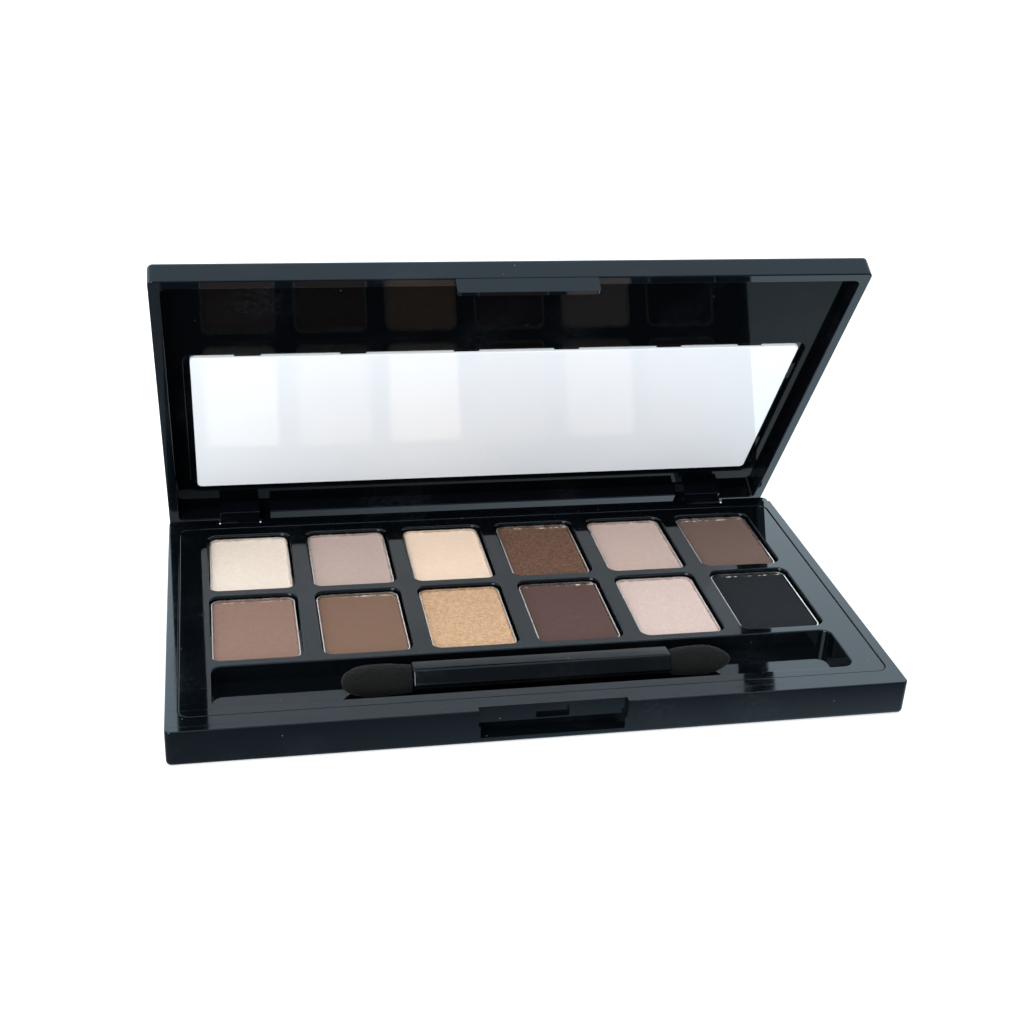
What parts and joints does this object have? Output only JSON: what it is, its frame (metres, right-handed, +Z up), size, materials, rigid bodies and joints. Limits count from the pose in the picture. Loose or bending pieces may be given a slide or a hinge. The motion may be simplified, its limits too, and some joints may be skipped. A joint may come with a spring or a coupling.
{
  "type": "eyeshadow palette",
  "caption": "Slim hinged makeup palette: black base with pressed eyeshadow pans and a trough for a double-ended sponge applicator, and a mirrored lid that folds flat.",
  "frame": {"origin": "centre of the flat underside of the base, on the surface that the palette rests on", "axes": "+X along the long side, to the right of someone using it; +Y to the back, where the lid hinges; +Z up"},
  "size_m": [0.134, 0.0847, 0.0734],
  "materials": {
    "shell_plastic": "polished black moulding",
    "tray_plastic": "high-gloss black moulding",
    "liner_plastic": "high-gloss black moulding",
    "pan_tin": "bright tinplate",
    "pin_steel": "ground wire",
    "mirror_silver": "silvered glass",
    "tape_foam": "double-sided tape",
    "pan_glue": "set hot-melt glue",
    "handle_plastic": "polished black moulding",
    "sponge_foam": "fine-cell foam",
    "powder_01": "pressed powder, cream",
    "powder_02": "pressed powder, mauve pink",
    "powder_03": "pressed powder, pale peach",
    "powder_04": "pressed powder, bronze brown",
    "powder_05": "pressed powder, pinkish beige",
    "powder_06": "pressed powder, taupe brown",
    "powder_07": "pressed powder, rosy brown",
    "powder_08": "pressed powder, brown taupe",
    "powder_09": "pressed powder, golden tan",
    "powder_10": "pressed powder, plum brown",
    "powder_11": "pressed powder, pale pink",
    "powder_12": "pressed powder, charcoal black"
  },
  "bodies": {
    "base": {"base_shell": "shell_plastic", "pan_tray": "tray_plastic", "pan_glue_dots": "pan_glue", "hinge_pin_left": "pin_steel", "hinge_pin_right": "pin_steel", "shadow_pan_01": "pan_tin", "shadow_pan_02": "pan_tin", "shadow_pan_03": "pan_tin", "shadow_pan_04": "pan_tin", "shadow_pan_05": "pan_tin", "shadow_pan_06": "pan_tin", "shadow_pan_07": "pan_tin", "shadow_pan_08": "pan_tin", "shadow_pan_09": "pan_tin", "shadow_pan_10": "pan_tin", "shadow_pan_11": "pan_tin", "shadow_pan_12": "pan_tin", "pressed_powder_01": "powder_01", "pressed_powder_02": "powder_02", "pressed_powder_03": "powder_03", "pressed_powder_04": "powder_04", "pressed_powder_05": "powder_05", "pressed_powder_06": "powder_06", "pressed_powder_07": "powder_07", "pressed_powder_08": "powder_08", "pressed_powder_09": "powder_09", "pressed_powder_10": "powder_10", "pressed_powder_11": "powder_11", "pressed_powder_12": "powder_12"},
    "lid": {"lid_shell": "shell_plastic", "lid_liner": "liner_plastic", "mirror_tape": "tape_foam", "mirror_glass": "mirror_silver"},
    "applicator": {"applicator_handle": "handle_plastic", "sponge_tip_wide": "sponge_foam", "sponge_tip_pointed": "sponge_foam"}
  },
  "joints": [
    {"name": "lid_hinge", "type": "hinge", "parent": "base", "child": "lid", "pos_m": [0, 0.0377, 0.0029], "axis": [-1, 0, 0], "range_deg": [-60, 40]},
    {"name": "applicator_lift", "type": "slide", "parent": "base", "child": "applicator", "axis": [0, 0, 1], "range_m": [0, 0.04]}
  ]
}
